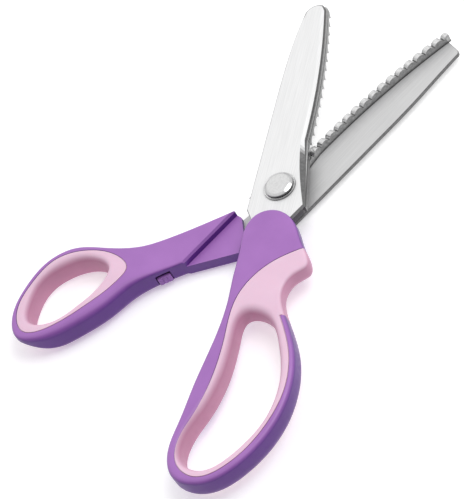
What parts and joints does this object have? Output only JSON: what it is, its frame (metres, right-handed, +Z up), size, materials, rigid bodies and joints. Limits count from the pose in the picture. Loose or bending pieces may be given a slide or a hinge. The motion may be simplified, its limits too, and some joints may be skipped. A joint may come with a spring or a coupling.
{
  "type": "pinking shears",
  "caption": "Scalloping shears with toothed blade edges, a screw pivot, and two hard handles with soft lined finger loops, shown half open.",
  "frame": {"origin": "centre of the bounding box's foot, on the surface that the open shears lie on", "axes": "+Z up, out of the upper blade's face and along the pivot; +Y along the bisector of the open blades, from the handles to the tips; +X to the lower blade's side"},
  "size_m": [0.1452, 0.2283, 0.0158],
  "materials": {
    "blade_steel": "fine lengthwise brushing",
    "tooth_steel": "ground",
    "bright_chrome": "polished",
    "washer_steel": "plain",
    "purple_plastic": "satin moulded",
    "pink_soft": "soft matt",
    "purple_insert": "satin moulded"
  },
  "bodies": {
    "finger_side": {"upper_blade": "blade_steel", "upper_tooth_bar": "tooth_steel", "pivot_screw": "bright_chrome", "head_washer": "bright_chrome", "spacer_washer": "washer_steel", "back_washer": "washer_steel", "lock_nut": "washer_steel", "finger_handle": "purple_plastic", "finger_grip": "pink_soft"},
    "thumb_side": {"lower_blade": "blade_steel", "lower_tooth_bar": "tooth_steel", "thumb_handle": "purple_plastic", "thumb_grip": "pink_soft", "thumb_insert": "purple_insert"}
  },
  "joints": [
    {"name": "pivot", "type": "hinge", "parent": "finger_side", "child": "thumb_side", "pos_m": [0.01572, 0.02163, 0.00795], "axis": [0, 0, -1], "range_deg": [-34.4, 30]}
  ]
}
